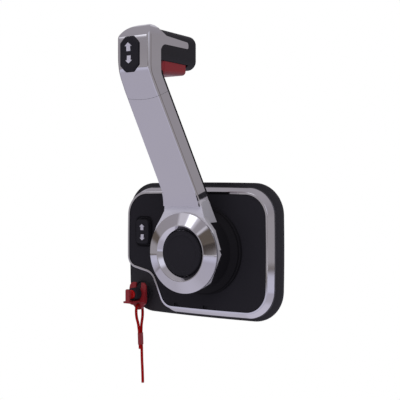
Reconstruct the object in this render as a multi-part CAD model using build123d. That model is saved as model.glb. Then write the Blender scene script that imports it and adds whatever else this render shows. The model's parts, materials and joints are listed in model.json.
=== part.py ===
"""Side-mount boat throttle control lever, modelled as separate pieces.

Frame: the origin is where the lever's pivot axis meets the wall.  +Z is up, -Y points out of the wall
towards the helm, +Y into the wall, -X is forward.  All sizes are in millimetres, and a "depth" is a
distance in front of the wall, so a piece at depth 10 lies at Y = -10.
"""
from build123d import *
from math import atan2, cos, pi, radians, sin, sqrt, tan
import os

os.makedirs("parts", exist_ok=True)

# ---------------------------------------------------------------- driving dimensions
# mounting plate
flange_width, flange_height = 178.6, 132.0
flange_centre_x = -7.7
flange_corner = 30.5
edge_crown = 1.3              # how far each side bows out at its middle
gasket_thickness = 1.2
flange_thickness = 3.0
stud_spacing_x, stud_spacing_z = 92.0, 96.0
stud_radius, stud_length = 3.0, 32.0
stud_head_radius, stud_head_thickness = 6.0, 1.4
stud_neck = 6.6               # square under the head that stops a stud turning

# raised platform: chrome trim round a black fascia
lip_width, lip_height = 163.7, 116.4
lip_centre = (-11.35, -0.9)
lip_corner = 24.0
lip_left = lip_centre[0] - lip_width / 2
lip_bottom = lip_centre[1] - lip_height / 2
lip_depth = 12.5
trim_foot_width, trim_foot_height = 169.9, 126.4
trim_foot_centre = (-10.55, -0.9)
trim_slope = 4.5              # spread of the notched corner from lip to foot
trim_land = 2.0               # flat top of the trim
fascia_drop = 0.7             # fascia below the trim's lip
fascia_wall = 3.0
notch_points = ((lip_left, -18.6), (lip_left + 30.6, -25.6), (lip_left + 45.0, lip_bottom))
notch_radii = (12.0, 13.0, 15.0)
seat_gap = 0.1                # between pieces that drop into each other

# hub, from the wall outwards
collar_radius = 42.5
collar_thickness = 3.6
turn_gap = 0.4                # between the turning pieces and the fixed collar
skirt_radius, skirt_waist_radius = 41.0, 36.0
skirt_waist_depth = 22.5
skirt_wall = 3.0
drum_rear_depth, drum_valley_depth, drum_front_depth = 41.0, 46.5, 48.2
drum_radius = 37.7
lobe_count = 8
ring_outer, ring_inner, ring_bore = 37.5, 26.4, 21.6
ring_front_depth = 53.6
cap_gap = 0.35
cap_depth = 50.7
cap_travel = 3.5

# lever arm and head
arm_tilt = 20.0               # leans out from the wall
arm_foot_z, arm_foot_depth = 40.0, 46.0
arm_thickness = 16.8          # chrome part of the arm
cover_thickness = 2.5         # black part behind it
arm_edge_radius = 3.0
head_bend_z, head_top_z = 165.0, 209.8
head_left, head_right = -43.4, -6.4
bend_radius, crown_radius = 32.0, 18.0
head_left_corner, head_right_corner = 20.0, 12.0
shell_wall = 2.5
seam_z = 141.0
seam_gap = 0.2

# grip and neutral lock bar
grip_centre_x, grip_half_width = -27.0, 17.0
grip_top_z, grip_bottom_z = 207.6, 174.5
grip_end_depth = 7.0
tongue_low_z, tongue_high_z, tongue_end_depth = 192.7, 200.8, 24.5
bar_top_z, bar_bottom_z = 178.0, 165.0
bar_near_depth, bar_far_depth = 63.4, 22.8
bar_half_width = 14.8
lock_travel = 5.0

# pivot shaft and rear mechanism
shaft_radius, shift_shaft_radius = 8.0, 5.0
running_gap = 0.05            # radial, shaft in bush
flat_cut = 1.2                # depth of the drive flats
bush_wall = 3.0
bush_flange = 1.5
housing_half_width = 36.0
housing_top_z, housing_bottom_z = 38.0, -56.0
housing_length = 40.0
housing_wall = 3.0
housing_corner = 8.0
cover_plate = 3.0
gear_module = 1.25
drive_teeth, shift_teeth = 24, 40
gear_width = 8.0
pressure_angle = 20.0
backlash = 0.16
detent_radius, detent_notch_radius, detent_step = 20.0, 3.0, 28.0
arm_plate = 4.0
throttle_reach, shift_reach = 42.0, 40.0
cable_pin_radius, cable_pin_length = 3.0, 9.0
cable_rivet_radius = 2.5

# rocker switches
rocker_gap = 0.5
rocker_pivot_radius = 0.9
panel_rocker_at = (lip_left + 21.0, 16.3)
panel_rocker_size = (15.5, 24.6)
panel_rocker_proud = 4.7
rocker_recess = (21.0, 29.6)
rocker_recess_corner = 6.0
rocker_recess_drop = 1.8
head_rocker_at = (-28.0, 181.5)
head_rocker_size = (20.2, 31.4)
head_rocker_chamfer = 5.5
head_rocker_proud = 2.6

# kill switch
kill_at = (lip_left + 14.3, lip_bottom + 12.3)
kill_pocket_radius = 12.0
kill_body_radius = 9.0
kill_barrel_radius = 4.8
kill_barrel_depth = 11.2
kill_nut_circumradius, kill_nut_thickness = 7.4, 2.4
kill_neck_radius = 2.7
kill_knob_radius = 6.25
kill_knob_depth = 16.3
kill_knob_length = 8.2
kill_travel = 22.0
clip_rear_depth = 11.5
clip_wedge = 0.2              # fork thickness gained for each millimetre down

# lanyard
cord_diameter = 2.8
strand_gap = 0.1
sleeve_wall = 0.5
sleeve_top_z, sleeve_bottom_z = -87.0, -98.6

# ---------------------------------------------------------------- derived depths
plate_front = gasket_thickness + flange_thickness
fascia_front = lip_depth - fascia_drop
fascia_back = fascia_front - fascia_wall
collar_front = fascia_front + collar_thickness
turning_rear = collar_front + turn_gap
tilt_slope = tan(radians(arm_tilt))
head_front_depth = arm_foot_depth + (head_bend_z - arm_foot_z) * tilt_slope
chrome_back = arm_thickness / cos(radians(arm_tilt))
cover_back = (arm_thickness + cover_thickness) / cos(radians(arm_tilt))
centre_distance = gear_module * (drive_teeth + shift_teeth) / 2
shift_at = (0.0, -centre_distance)
kill_pocket_floor = plate_front - 1.6
bush_radius = shaft_radius + bush_wall


# ---------------------------------------------------------------- helpers
def standoff(depth):
    """Plane parallel to the wall, with local x and y along X and Z."""
    return Plane.XZ.offset(depth)


def prism(sketch, near, far):
    """Sketch in X and Z, extruded from one depth to another."""
    return extrude(standoff(near) * sketch, far - near)


def disc(radius, near, far, at=(0, 0)):
    return prism(Pos(*at) * Circle(radius), near, far)


def outline(points):
    return make_face(Polyline(*points, close=True))


def turned(points, at=(0, 0)):
    """Radius and depth pairs, revolved about an axis along Y through a point in X and Z."""
    profile = outline([(radius, -depth) for radius, depth in points])
    return Pos(at[0], 0, at[1]) * revolve(profile, Axis.Y)


def side_slab(sketch):
    """Sketch in depth and Z, extruded along X past both sides of the lever."""
    return extrude(Plane.YZ * mirror(sketch, Plane.YZ), 120.0, both=True)


def nearest(shapes, point):
    target = Vector(*point)
    return min(shapes, key=lambda s: (s.center() - target).length)


def round_corner(sketch, point, radius):
    return fillet(nearest(sketch.vertices(), (*point, 0)), radius)


def front_edges(shape):
    return shape.faces().sort_by(Axis.Y)[0].edges()


def back_edges(shape):
    return shape.faces().sort_by(Axis.Y)[-1].edges()


def save(name, shape):
    solids = shape.solids()
    whole = Compound(children=list(solids)) if len(solids) > 1 else solids[0]
    export_step(whole, f"parts/{name}.step")


# ---------------------------------------------------------------- plate outlines
def crowned_rectangle(width, height, centre, corner, crown):
    """Rounded rectangle whose four sides are shallow arcs."""
    cx, cz = centre
    w, h = width / 2, height / 2
    ends = [(cx + i * (w - crown), cz + j * (h - crown)) for i, j in ((-1, -1), (1, -1), (1, 1), (-1, 1))]
    middles = [(cx, cz - h), (cx + w, cz), (cx, cz + h), (cx - w, cz)]
    sides = [ThreePointArc(ends[i], middles[i], ends[(i + 1) % 4]) for i in range(4)]
    return fillet(make_face(sides).vertices(), corner)


def notched_rectangle(width, height, centre, corner, spread):
    """Crowned rectangle with an S-shaped notch at its lower forward corner."""
    whole = crowned_rectangle(width, height, centre, corner, edge_crown)
    far = 60.0
    (x1, z1), (x2, z2), (x3, z3) = notch_points
    run_in = (x1 - far, z1 - far * (z2 - z1) / (x2 - x1))
    run_out = (x3 + far * (x3 - x2) / (z2 - z3), z3 - far)
    notch = outline([run_in, (x2, z2), run_out, (x1 - far, z3 - far)])
    if spread:
        notch = offset(notch, -spread, kind=Kind.INTERSECTION)
    sketch = whole - notch
    for point, radius, sign in zip(notch_points, notch_radii, (1, -1, 1)):
        sketch = round_corner(sketch, (point[0] - spread, point[1] - spread), radius + sign * spread)
    return sketch


lip_sketch = notched_rectangle(lip_width, lip_height, lip_centre, lip_corner, 0.0)
foot_sketch = notched_rectangle(
    trim_foot_width, trim_foot_height, trim_foot_centre, lip_corner + trim_slope, trim_slope
)
flange_sketch = crowned_rectangle(
    flange_width, flange_height, (flange_centre_x, 0), flange_corner, edge_crown
)
fascia_sketch = offset(lip_sketch, -(trim_land + seat_gap))


def housing_outline(shrink=0.0):
    height = housing_top_z - housing_bottom_z - 2 * shrink
    width = 2 * (housing_half_width - shrink)
    return Pos(0, (housing_top_z + housing_bottom_z) / 2) * RectangleRounded(
        width, height, housing_corner - shrink
    )


# ---------------------------------------------------------------- mounting plate pieces
def stud_places():
    return [(i * stud_spacing_x / 2, j * stud_spacing_z / 2) for i in (-1, 1) for j in (-1, 1)]


def stud_neck_outline(place, spread=0.0):
    return Pos(*place) * Rectangle(stud_neck + 2 * spread, stud_neck + 2 * spread)


def housing_screw_places():
    x = housing_half_width - 9.0
    return [(i * x, z) for i in (-1, 1) for z in (housing_top_z - 9.0, housing_bottom_z + 9.0)]


def cover_screw_places():
    x = housing_half_width - 6.0
    return [(i * x, z) for i in (-1, 1) for z in (housing_top_z - 6.0, housing_bottom_z + 6.0)]


panel_module_size = (panel_rocker_size[0] - 1.0, panel_rocker_size[1] - 1.6)


def module_window():
    w, h = panel_module_size
    return Pos(*panel_rocker_at) * Rectangle(w + 2 * seat_gap, h + 2 * seat_gap)


def mounting_gasket():
    sheet = prism(offset(flange_sketch, -0.6), 0, gasket_thickness)
    sheet -= prism(housing_outline(-seat_gap), 0, gasket_thickness)
    for place in stud_places():
        sheet -= prism(stud_neck_outline(place, seat_gap), 0, gasket_thickness)
    sheet -= disc(kill_body_radius + 1.0, 0, gasket_thickness, kill_at)
    return sheet - prism(offset(module_window(), 1.0), 0, gasket_thickness)


def mounting_plate():
    plate = prism(flange_sketch, gasket_thickness, plate_front)
    plate = fillet(front_edges(plate), 1.2)
    plate -= disc(bush_radius + seat_gap, 0, plate_front)
    for place in stud_places():
        plate -= prism(stud_neck_outline(place, seat_gap), 0, plate_front)
        plate -= disc(stud_head_radius + seat_gap, plate_front - stud_head_thickness, plate_front, place)
    for place in housing_screw_places():
        plate -= turned([(0, 0), (2.2, 0), (2.2, plate_front - 1.9), (4.2, plate_front), (0, plate_front)],
                        place)
    plate -= disc(kill_pocket_radius, kill_pocket_floor, plate_front, kill_at)
    plate -= disc(kill_barrel_radius + running_gap, 0, plate_front, kill_at)
    return plate - prism(module_window(), 0, plate_front)


def mounting_studs():
    """Flat-headed studs with square necks in the plate and round threaded ends behind it."""
    studs = []
    under_head = plate_front - stud_head_thickness
    for place in stud_places():
        stud = chamfer(back_edges(disc(stud_radius, 0, -stud_length, place)), 0.6)
        stud += prism(stud_neck_outline(place), 0, under_head)
        studs.append(stud + disc(stud_head_radius, under_head, plate_front, place))
    return Compound(children=studs)


def housing_screws():
    """Countersunk screws from the plate into the housing's floor."""
    screws = []
    for place in housing_screw_places():
        screw = turned([(0, -2.6), (1.9, -2.6), (1.9, plate_front - 1.9), (3.9, plate_front - 0.1),
                        (0, plate_front - 0.1)], place)
        screws.append(cross_slot(screw, place, plate_front - 0.1, 1.0))
    return Compound(children=screws)


def cross_slot(screw, place, depth, cut):
    """Two crossed slots cut into a screw head whose face is at a depth."""
    for angle in (0, 90):
        slot = Pos(*place) * Rot(0, 0, angle) * Rectangle(3.6, 0.9)
        screw -= prism(slot, depth, depth - cut)
    return screw


def chrome_trim():
    foot = (standoff(plate_front) * foot_sketch).faces()[0]
    lip = (standoff(lip_depth) * lip_sketch).faces()[0]
    trim = loft([foot, lip], ruled=True)
    trim = fillet(front_edges(trim), 0.8)
    return trim - prism(offset(lip_sketch, -trim_land), plate_front - 1, lip_depth + 1)


def fascia_plate():
    panel = prism(fascia_sketch, plate_front, fascia_front)
    panel = fillet(front_edges(panel), 0.4)
    panel -= prism(offset(fascia_sketch, -2.5), plate_front, fascia_back)
    for x, z in ((-50.0, 34.0), (52.0, 34.0), (52.0, -36.0), (-36.0, -36.0)):
        panel += disc(4.0, plate_front, fascia_back, (x, z))
    panel -= disc(bush_radius + seat_gap, 0, fascia_front + 1)
    recess = Pos(*panel_rocker_at) * RectangleRounded(*rocker_recess, rocker_recess_corner)
    panel -= prism(recess, fascia_front - rocker_recess_drop, fascia_front)
    rim = [e for e in panel.edges() if abs(e.center().Y + fascia_front) < 0.01
           and abs(e.center().X - panel_rocker_at[0]) < rocker_recess[0] / 2 + 0.1
           and abs(e.center().Z - panel_rocker_at[1]) < rocker_recess[1] / 2 + 0.1]
    panel = chamfer(rim, 0.8)
    panel -= prism(offset(panel_rocker_outline(), rocker_gap), fascia_back - 1, fascia_front)
    for x in (-33.0, 1.0):
        panel -= prism(Pos(x, -54.8) * RectangleRounded(5.0, 3.0, 0.6), fascia_front - 1.2, fascia_front)
    return panel


lock_track_outer, lock_track_inner = 22.0, 16.5
lock_track_depth = collar_front + 3.0


def hub_collar():
    """Fixed collar with the neutral lock's notched track standing on it."""
    bore = bush_radius + seat_gap
    collar = turned([
        (bore, fascia_front), (collar_radius, fascia_front), (collar_radius, collar_front),
        (lock_track_outer, collar_front), (lock_track_outer, lock_track_depth),
        (lock_track_inner, lock_track_depth), (lock_track_inner, collar_front), (bore, collar_front),
    ])
    rim = [e for e in collar.edges() if abs(e.center().Y + collar_front) < 0.01
           and e.length > 2 * pi * (collar_radius - 1)]
    collar = fillet(rim, 1.2)
    notch = prism(Pos(0, lock_track_outer) * Rectangle(5.5, 7.0), collar_front, lock_track_depth)
    return collar - notch


# ---------------------------------------------------------------- rear housing and bearings
housing_floor_depth = -3.0
detent_depth = -6.0
gear_depth = -16.0
shift_arm_depth = -housing_length - cover_plate - 2.2
throttle_arm_depth = shift_arm_depth - arm_plate - 5.0


def rear_housing():
    """Moulded box behind the plate, open at the back, whose floor carries the front bushes."""
    box = prism(housing_outline(), gasket_thickness, -housing_length)
    box -= prism(housing_outline(housing_wall), housing_floor_depth, -housing_length)
    box -= disc(bush_radius + seat_gap, gasket_thickness, housing_floor_depth)
    box += disc(shift_shaft_radius + 3.5, housing_floor_depth, housing_floor_depth - 6.0, shift_at)
    box -= disc(shift_shaft_radius + running_gap, housing_floor_depth, housing_floor_depth - 6.0, shift_at)
    inside = prism(housing_outline(1.0), housing_floor_depth, -housing_length)
    for place in cover_screw_places():
        box += disc(4.2, housing_floor_depth, -housing_length, place) & inside
        box -= disc(1.5, -housing_length + 12.0, -housing_length, place)
    for place in housing_screw_places():
        box -= disc(1.9, gasket_thickness, housing_floor_depth, place)
    return box


def rear_cover():
    inner = -housing_length + 2.0
    cover = prism(housing_outline(), -housing_length, -housing_length - cover_plate)
    lip = housing_outline(housing_wall + seat_gap) - housing_outline(housing_wall + 2.5)
    for place in cover_screw_places():
        lip -= Pos(*place) * Circle(4.6)
    cover += prism(lip, inner, -housing_length)
    cover -= disc(bush_radius + seat_gap, inner, -housing_length - cover_plate)
    cover -= disc(shift_shaft_radius + 2.5 + seat_gap, inner, -housing_length - cover_plate, shift_at)
    for place in cover_screw_places():
        cover -= disc(1.8, inner, -housing_length - cover_plate, place)
    return cover


def cover_screws():
    screws = []
    face = -housing_length - cover_plate
    for place in cover_screw_places():
        head = fillet(back_edges(disc(3.2, face, face - 2.2, place)), 1.0)
        head = cross_slot(head, place, face - 1.2, 1.2)
        screws.append(head + disc(1.45, face + 13.0, face, place))
    return Compound(children=screws)


def bush(radius, wall, near, far, at, flange_near):
    """Plain bearing bush with a flange that starts at a depth."""
    sleeve = disc(radius + wall, near, far, at)
    sleeve += disc(radius + wall + 2.5, flange_near, flange_near - bush_flange, at)
    return sleeve - disc(radius + running_gap, near + 1, far - 5, at)


def front_bush():
    return bush(shaft_radius, bush_wall, fascia_front + 2.2, housing_floor_depth, (0, 0),
                housing_floor_depth)


def rear_bush():
    back = -housing_length - cover_plate
    return bush(shaft_radius, bush_wall, back + 7.0, back, (0, 0), back)


def shift_bush():
    back = -housing_length - cover_plate
    return bush(shift_shaft_radius, 2.5, back + 7.0, back, shift_at, back)


# ---------------------------------------------------------------- gears and detent
def involute_gear(teeth, turn, keep=180.0):
    """Spur gear outline with one tooth centred on a direction, and teeth up to an angle off it."""
    pitch = gear_module * teeth / 2
    base = pitch * cos(radians(pressure_angle))
    tip, root = pitch + gear_module, pitch - 1.25 * gear_module
    half = pi / (2 * teeth) - backlash / (4 * pitch)
    involute = tan(radians(pressure_angle)) - radians(pressure_angle)
    start = max(base, root) + 0.1

    def flank_point(radius, side):
        t = sqrt(radius * radius / (base * base) - 1)
        angle = half + involute - (t - atan2(t, 1))
        return (radius * cos(angle), side * radius * sin(angle))

    radii = [start + (tip - start) * i / 3 for i in range(4)]
    upper = [flank_point(r, 1) for r in radii]
    lower = [(x, -y) for x, y in reversed(upper)]
    inner = root - 0.4
    foot = Polyline(lower[-1], (inner, lower[-1][1]), (inner, upper[0][1]), upper[0])
    tooth = make_face([Spline(*upper), ThreePointArc(upper[-1], (tip, 0), lower[0]), Spline(*lower), foot])
    gear = Circle(root)
    for index in range(teeth):
        offset_angle = (index * 360.0 / teeth + 180) % 360 - 180
        if abs(offset_angle) <= keep:
            gear += Rot(0, 0, turn + offset_angle) * tooth
    return gear


def keyed_bore():
    """Round bore with a drive flat on its upper side."""
    flat = Pos(0, shaft_radius - flat_cut + seat_gap + 5) * Rectangle(30, 10)
    return Circle(shaft_radius + 0.02) - flat


def drive_gear():
    """Pinion on the pivot shaft; a gap between two teeth points straight down."""
    wheel = involute_gear(drive_teeth, -90 + 180 / drive_teeth) - keyed_bore()
    hub = Circle(bush_radius) - keyed_bore()
    return prism(wheel, gear_depth, gear_depth - gear_width) + prism(
        hub, gear_depth - gear_width, gear_depth - gear_width - 4.0
    )


def shift_sector():
    """Sector gear above the shift shaft, with two lightening holes."""
    pitch = gear_module * shift_teeth / 2
    reach = 50.0
    wheel = involute_gear(shift_teeth, 90, reach - 2)
    side = 2 * pitch
    low = side * cos(radians(reach))
    fan = outline([(0, -1), (side * sin(radians(reach)), low), (0, 3 * pitch),
                   (-side * sin(radians(reach)), low)])
    body = (wheel & fan) + Circle(shift_shaft_radius + 5.5)
    for angle in (62, 118):
        body -= Rot(0, 0, angle) * Pos(15.8, 0) * Circle(3.2)
    body -= Circle(shift_shaft_radius)
    return prism(Pos(*shift_at) * body, gear_depth, gear_depth - gear_width)


def detent_disc():
    """Disc with a notch for neutral and one for each gear."""
    plate = Circle(detent_radius)
    for angle in (90 - detent_step, 90, 90 + detent_step):
        plate -= Rot(0, 0, angle) * Pos(detent_radius + 1.6, 0) * Circle(detent_notch_radius)
    return prism(plate - keyed_bore(), detent_depth, detent_depth - 6.0)


detent_mid_depth = detent_depth - 3.0
roller_z = detent_radius + 0.3 + detent_notch_radius
guide_low_z = roller_z + 4.2
guide_high_z = housing_top_z - housing_wall
stem_top_z = guide_low_z + 1.2
well_top_z = guide_high_z - 1.4


def detent_guide():
    """Block under the housing's top wall with a well for the roller's stem and spring."""
    middle, height = (guide_low_z + guide_high_z) / 2, guide_high_z - guide_low_z
    block = prism(Pos(0, middle) * Rectangle(16.0, height), housing_floor_depth, housing_floor_depth - 12.0)
    well = extrude(Plane((0, -detent_mid_depth, guide_low_z)) * Circle(3.7), well_top_z - guide_low_z)
    return block - well


def detent_roller():
    stem = extrude(Plane((0, -detent_mid_depth, roller_z + 0.5)) * Circle(3.4), stem_top_z - roller_z - 0.5)
    roller = disc(detent_notch_radius, detent_mid_depth + 2.5, detent_mid_depth - 2.5, (0, roller_z))
    return stem + roller


def coil_spring(start, direction, length, radius, wire, turns):
    """Helical compression spring from a point along a direction."""
    plane = Plane(origin=start, z_dir=direction)
    free = length - 1.2 * wire
    helix = Helix(pitch=free / turns, height=free, radius=radius)
    section = Plane(origin=helix @ 0, z_dir=helix % 0) * Rectangle(wire, wire)
    return plane.location * Pos(0, 0, 0.6 * wire) * sweep(section, path=helix)


def detent_spring():
    start = (0, -detent_mid_depth, stem_top_z)
    return coil_spring(start, (0, 0, 1), well_top_z - stem_top_z, 2.9, 0.6, 3)


# ---------------------------------------------------------------- shafts and cable arms
def retaining_ring(radius, depth, at):
    """Open clip ring in a shaft groove, its gap at the bottom."""
    ring = Circle(radius + 2.0) - Circle(radius - 0.7) - Pos(0, -radius) * Rectangle(radius, 6.0)
    return prism(Pos(*at) * ring, depth, depth - 0.9)


def grooved(shaft, radius, depth, at):
    return shaft - prism(Pos(*at) * (Circle(radius + 1) - Circle(radius - 0.8)), depth + 0.05, depth - 0.95)


throttle_ring_depth = throttle_arm_depth - arm_plate - 0.1
shift_ring_depth = shift_arm_depth - arm_plate - 0.1
shaft_nose_depth = 37.0


def pivot_shaft():
    """Stepped shaft from the lever's hub to the throttle arm, with drive flats."""
    shaft = disc(shaft_radius, shaft_nose_depth, throttle_ring_depth - 3.0)
    flat = Pos(0, shaft_radius - flat_cut + 5) * Rectangle(30, 10)
    for near, far in ((shaft_nose_depth, turning_rear - 0.8), (detent_depth + 0.1, gear_depth - gear_width - 4.1),
                      (throttle_arm_depth + 0.1, throttle_ring_depth - 3.0)):
        shaft -= prism(flat, near, far)
    shaft -= disc(3.3, shaft_nose_depth, 22.0)
    return grooved(shaft, shaft_radius, throttle_ring_depth, (0, 0))


def shift_shaft():
    shaft = disc(shift_shaft_radius, housing_floor_depth - 0.5, shift_ring_depth - 3.0, shift_at)
    return grooved(shaft, shift_shaft_radius, shift_ring_depth, shift_at)


def cable_arm(reach, angle, boss, bore, at, near):
    """Flat arm with a boss on its shaft and two cable holes at its tip."""
    blade = Sketch() + make_hull((Circle(boss) + Pos(reach, 0) * Circle(6.5)).edges())
    for place in (reach, reach - 12.0):
        blade -= Pos(place, 0) * Circle(cable_rivet_radius + 0.02)
    blade = Rot(0, 0, angle) * blade - bore
    return prism(Pos(*at) * blade, near, near - arm_plate)


def throttle_arm():
    return cable_arm(throttle_reach, -90, bush_radius + 1.5, keyed_bore(), (0, 0), throttle_arm_depth)


def shift_arm():
    bore = Circle(shift_shaft_radius)
    return cable_arm(shift_reach, 180, shift_shaft_radius + 4.5, bore, shift_at, shift_arm_depth)


def cable_pin(at, near):
    """Shouldered pin riveted through a cable arm's outer hole."""
    shoulder = near - arm_plate
    pin = chamfer(back_edges(disc(cable_pin_radius, shoulder, shoulder - cable_pin_length, at)), 0.5)
    pin += disc(cable_rivet_radius, near, shoulder, at)
    return pin + disc(cable_rivet_radius + 1.5, near + 1.2, near, at)


# ---------------------------------------------------------------- lever outlines
def front_depth(z):
    """Depth of the lever's front face at a height."""
    return arm_foot_depth + (min(z, head_bend_z) - arm_foot_z) * tilt_slope


arm_low_z = 12.0
flare_low_z, flare_high_z, flare_rise = 43.6, 56.0, 2.2
neck_rear_depth = 41.5
head_rear_depth = head_front_depth - chrome_back


def lever_side(near, far, top=head_top_z, crown=0.0):
    """Slab across the lever between two offsets behind its front face."""
    points = [(head_front_depth - near, head_bend_z), (head_front_depth - near, top),
              (head_front_depth - far, top), (head_front_depth - far, head_bend_z),
              (front_depth(arm_low_z) - far, arm_low_z), (front_depth(arm_low_z) - near, arm_low_z)]
    sketch = round_corner(outline(points), points[0], bend_radius - near)
    return side_slab(round_corner(sketch, points[1], crown) if crown else sketch)


def lever_front(inset=0.0, open_top=False):
    """Front silhouette of arm and head."""
    top = head_top_z + (30.0 if open_top else 0.0)
    points = [(-22.6, arm_low_z), (-21.5, 54.0), (-40.0, 150.0), (head_left, 176.0), (head_left, top),
              (head_right, top), (head_right, 166.0), (25.6, arm_low_z)]
    corners = ((1, 25.0), (2, 80.0), (3, 60.0), (6, 60.0))
    if not open_top:
        corners += ((4, head_left_corner), (5, head_right_corner))
    sketch = outline(points)
    for index, radius in corners:
        sketch = round_corner(sketch, points[index], radius)
    return offset(sketch, -inset) if inset else sketch


def seam_region(gap=0.0):
    """Everything above the curved seam between the arm and the head cap."""
    y_dir = (0, -sin(radians(arm_tilt)), cos(radians(arm_tilt)))
    normal = (0, -cos(radians(arm_tilt)), -sin(radians(arm_tilt)))
    plane = Plane(origin=(-20, -front_depth(seam_z), seam_z), x_dir=(1, 0, 0), z_dir=normal)
    arc = ThreePointArc((-50, 18 + gap), (-1, gap), (48, 18 + gap))
    region = make_face([arc, Polyline(arc @ 1, (48, 120), (-50, 120), arc @ 0)])
    return extrude(plane * region, 90, both=True)


def neck_outline():
    """Plate that joins the hub drum to the arm, tangent to the drum on both sides."""
    return outline([(-37.6, 4.0), (-36.6, 14.0), (-31.7, 24.8), (-27.4, 31.0), (-22.8, 39.0),
                    (-22.2, 47.0), (18.8, 47.0), (21.8, 34.0), (31.6, 22.0), (37.6, 4.0)])


# ---------------------------------------------------------------- lever pieces
def lever_blank():
    """Arm and head as one solid: long edges rounded first, then the crown cut to shape."""
    blank = lever_side(0.0, chrome_back, head_top_z + 30.0) & prism(lever_front(open_top=True), 0, 110)
    long_edges = [e for e in blank.edges() if on_front(e @ 0) and on_front(e @ 1)
                  and abs((e @ 0).Z - (e @ 1).Z) > abs((e @ 0).X - (e @ 1).X)]
    blank = fillet(long_edges, arm_edge_radius)
    return blank & lever_side(-1.0, chrome_back + 1.0, head_top_z, crown_radius) & prism(lever_front(), 0, 110)


def on_front(point):
    """True for a point on the lever's front face or in its bend."""
    return 0 <= front_depth(point.Z) + point.Y + 0.01 < 1.0


def lever_cavity():
    """Hollow of arm and head, open towards the back."""
    side = lever_side(shell_wall, chrome_back + 30.0, head_top_z - shell_wall, crown_radius - shell_wall)
    hollow = side & prism(lever_front(shell_wall), 0, 110)
    behind_neck = hollow & prism(Pos(0, 60.0) * Rectangle(200, 70.0), 0, neck_rear_depth)
    return (hollow & above_plane(flare_low_z + 3.0)) + behind_neck


def arm_flare():
    """Lip where the arm's front face curls forward above the hub ring."""
    low = (front_depth(flare_low_z) + flare_rise, flare_low_z)
    middle_z = (flare_low_z + flare_high_z) / 2
    middle = (front_depth(middle_z) + 0.3 * flare_rise, middle_z)
    high = (front_depth(flare_high_z), flare_high_z)
    curl = ThreePointArc(low, middle, high)
    inside = Polyline(high, (high[0] - 2.0, high[1]), (low[0] - 4.0, low[1]), low)
    return side_slab(make_face([curl, inside])) & prism(lever_front(0.5), 0, 110)


def above_plane(z):
    return Pos(0, -60, z) * Box(200, 140, 400, align=(Align.CENTER, Align.CENTER, Align.MIN))


def drum_scallops():
    """Radial cutters that leave pointed lobes on the drum's rear edge."""
    half_chord = drum_radius * sin(pi / lobe_count)
    rise = drum_valley_depth - drum_rear_depth
    radius = (half_chord ** 2 + rise ** 2) / (2 * rise)
    cutter = Pos(0, 0, drum_radius) * Cylinder(radius, 16.0)
    cutters = []
    for index in range(lobe_count):
        angle = (index + 0.5) * 360 / lobe_count
        cutters.append(Pos(0, radius - drum_valley_depth, 0) * Rot(0, angle, 0) * cutter)
    return cutters


def hub_casting():
    """Drum, central boss and neck of the lever's casting."""
    waist = skirt_waist_radius + seat_gap
    drum = disc(drum_radius, drum_rear_depth, drum_front_depth)
    drum -= disc(waist, drum_rear_depth, drum_valley_depth + 0.4)
    for cutter in drum_scallops():
        drum -= cutter
    neck = prism(neck_outline(), neck_rear_depth, arm_foot_depth) - disc(waist, 0, 60)
    floor = disc(skirt_waist_radius - skirt_wall - seat_gap, shaft_nose_depth, drum_front_depth)
    boss = disc(bush_radius + 2.5, turning_rear, drum_front_depth)
    return drum + neck + floor + boss


def hub_bores():
    """Shaft bore, screw seat and ring recess through the hub casting."""
    bore = prism(keyed_bore(), turning_rear - 1, shaft_nose_depth + 0.5)
    seat = disc(ring_bore + 2.0, shaft_nose_depth + 3.0, ring_front_depth)
    return bore + seat + disc(3.3, shaft_nose_depth, ring_front_depth)


def screw_frames():
    """Planes on the arm's back where its cover is screwed on, facing away from the arm."""
    frames = []
    for z in (66.0, 100.0, 134.0):
        x = 5.8 - 0.2 * (z - arm_low_z)
        origin = (x + 8.0, -(front_depth(z) - cover_back), z)
        frames.append(Plane(origin=origin, x_dir=(1, 0, 0),
                            z_dir=(0, cos(radians(arm_tilt)), sin(radians(arm_tilt)))))
    return frames


def rod_guide():
    """Web across the arm that guides the lock rod and seats its spring."""
    origin = lock_low + lock_direction * (spring_start + spring_length)
    plane = Plane(origin=origin, z_dir=lock_direction)
    return extrude(plane * (Rectangle(60, 60) - Circle(lock_rod_radius + 0.3)), 2.4)


def lever_shell():
    """Chrome casting of arm and hub, hollow behind, with bosses for the cover's screws."""
    waist = skirt_waist_radius + seat_gap
    blank = lever_blank()
    arm = blank - seam_region(-seam_gap / 2) + arm_flare()
    arm -= prism(Pos(0, flare_low_z - 50.0) * Rectangle(200, 100), arm_foot_depth, 90)
    arm -= disc(waist, 0, drum_valley_depth + 0.4)
    inner = blank & lever_cavity()
    arm -= lever_cavity()
    arm += rod_guide() & inner
    shell = arm + hub_casting()
    for frame in screw_frames():
        post = extrude(frame * Circle(4.0), 1.0 - arm_thickness - cover_thickness)
        shell += (post - extrude(frame * Circle(6.0), -cover_thickness - seat_gap)) & blank
        shell -= extrude(frame * Circle(1.5), -13.0)
    return shell - hub_bores()


# ---------------------------------------------------------------- head and grip
def head_rocker_outline(inset=0.0):
    w, h = head_rocker_size[0] / 2, head_rocker_size[1] / 2
    c = head_rocker_chamfer
    points = [(w, h - c), (w - c, h), (c - w, h), (-w, h - c), (-w, c - h), (c - w, -h), (w - c, -h), (w, c - h)]
    shape = fillet(outline(points).vertices(), 2.0)
    shape = Pos(*head_rocker_at) * shape
    return offset(shape, inset) if inset else shape


def panel_rocker_outline():
    return Pos(*panel_rocker_at) * RectangleRounded(*panel_rocker_size, 3.5)


head_module_front = head_front_depth - 5.2
panel_module_front = fascia_back - 1.4
head_pivot_depth, head_pivot_reach = head_front_depth - 2.3, head_rocker_size[0] / 2 + rocker_gap + 1.4
panel_pivot_depth, panel_pivot_reach = panel_module_front - 1.5, 4.3


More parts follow.
